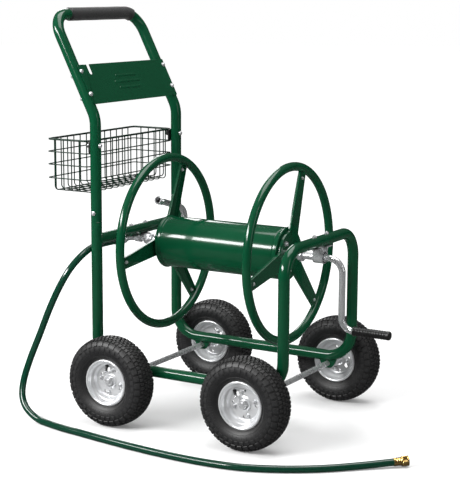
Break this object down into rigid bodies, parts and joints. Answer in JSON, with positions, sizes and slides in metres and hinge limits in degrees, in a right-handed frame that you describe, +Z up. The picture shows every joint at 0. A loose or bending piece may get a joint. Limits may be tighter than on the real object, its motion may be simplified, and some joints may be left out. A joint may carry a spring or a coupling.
{
  "type": "garden hose reel cart",
  "caption": "Wheeled tubular cart with a push handle, wire basket and crank-turned hose reel, with a leader hose from its inlet.",
  "frame": {"origin": "on the ground under the middle of the cart's box, the leader hose not counted", "axes": "+X along the reel axis from the handle end to the crank end, +Y to the rear side, +Z up"},
  "size_m": [1.1633, 0.7985, 1.1753],
  "materials": {
    "powder_green": "gloss powder coat",
    "foam_black": "matt foam rubber",
    "grip_black": "ribbed, satin",
    "zinc": "bright zinc plate",
    "chrome": "chrome plate",
    "rim_silver": "silver paint",
    "tyre": "moulded black rubber",
    "nylon_black": "moulded nylon",
    "brass": "machined brass",
    "hose_green": "gloss green hose"
  },
  "bodies": {
    "cart": {"axle_crank_end": "zinc", "axle_handle_end": "zinc", "basket_bolt_front": "zinc", "basket_bolt_rear": "zinc", "basket_clip_front": "nylon_black", "basket_clip_rear": "nylon_black", "basket_floor": "powder_green", "basket_front_wall": "powder_green", "basket_inner_wall": "powder_green", "basket_outer_wall": "powder_green", "basket_rear_wall": "powder_green", "bearing_strap_crank_end": "zinc", "bearing_strap_handle_end": "zinc", "crank_end_bush": "nylon_black", "frame_crank_end": "powder_green", "frame_handle_end": "powder_green", "handle_bolt_front": "zinc", "handle_bolt_rear": "zinc", "handle_grip": "foam_black", "handle_tube": "powder_green", "hose_end_tail": "brass", "inlet_coupling": "chrome", "inlet_pipe": "chrome", "leader_hose": "hose_green", "plate_bolt_front_lower": "zinc", "plate_bolt_front_upper": "zinc", "plate_bolt_rear_lower": "zinc", "plate_bolt_rear_upper": "zinc", "rail_bolt_front": "zinc", "rail_bolt_rear": "zinc", "swivel_nut": "chrome", "tool_plate": "powder_green", "wheel_crank_front_nut": "zinc", "wheel_crank_rear_nut": "zinc", "wheel_handle_front_nut": "zinc", "wheel_handle_rear_nut": "zinc"},
    "reel": {"reel_drum": "powder_green", "reel_hoop_handle_end": "powder_green", "reel_hoop_crank_end": "powder_green", "reel_spider_handle_end": "powder_green", "reel_spider_crank_end": "powder_green", "reel_shaft": "zinc", "outlet_pipe": "chrome", "crank_tube": "chrome", "crank_bolt": "zinc"},
    "crank_grip": {"crank_grip": "grip_black"},
    "wheel_handle_front": {"wheel_handle_front_tyre": "tyre", "wheel_handle_front_rim": "rim_silver", "wheel_handle_front_bush": "nylon_black"},
    "wheel_handle_rear": {"wheel_handle_rear_tyre": "tyre", "wheel_handle_rear_rim": "rim_silver", "wheel_handle_rear_bush": "nylon_black"},
    "wheel_crank_front": {"wheel_crank_front_tyre": "tyre", "wheel_crank_front_rim": "rim_silver", "wheel_crank_front_bush": "nylon_black"},
    "wheel_crank_rear": {"wheel_crank_rear_tyre": "tyre", "wheel_crank_rear_rim": "rim_silver", "wheel_crank_rear_bush": "nylon_black"},
    "hose_nut": {"hose_end_nut": "brass"}
  },
  "joints": [
    {"name": "reel_spin", "type": "hinge", "parent": "cart", "child": "reel", "pos_m": [-0.022, 0, 0.494], "axis": [1, 0, 0], "continuous": true},
    {"name": "crank_grip_spin", "type": "hinge", "parent": "reel", "child": "crank_grip", "pos_m": [0.44375, 0, 0.295], "axis": [1, 0, 0], "continuous": true},
    {"name": "wheel_handle_front_spin", "type": "hinge", "parent": "cart", "child": "wheel_handle_front", "pos_m": [-0.23625, -0.285, 0.13], "axis": [0, 1, 0], "continuous": true},
    {"name": "wheel_handle_rear_spin", "type": "hinge", "parent": "cart", "child": "wheel_handle_rear", "pos_m": [-0.23625, 0.285, 0.13], "axis": [0, 1, 0], "continuous": true},
    {"name": "wheel_crank_front_spin", "type": "hinge", "parent": "cart", "child": "wheel_crank_front", "pos_m": [0.20375, -0.285, 0.13], "axis": [0, 1, 0], "continuous": true},
    {"name": "wheel_crank_rear_spin", "type": "hinge", "parent": "cart", "child": "wheel_crank_rear", "pos_m": [0.20375, 0.285, 0.13], "axis": [0, 1, 0], "continuous": true},
    {"name": "hose_nut_spin", "type": "hinge", "parent": "cart", "child": "hose_nut", "pos_m": [0.61891, -0.20645, 0.01535], "axis": [0.7426, 0.6684, 0.0425], "continuous": true}
  ]
}
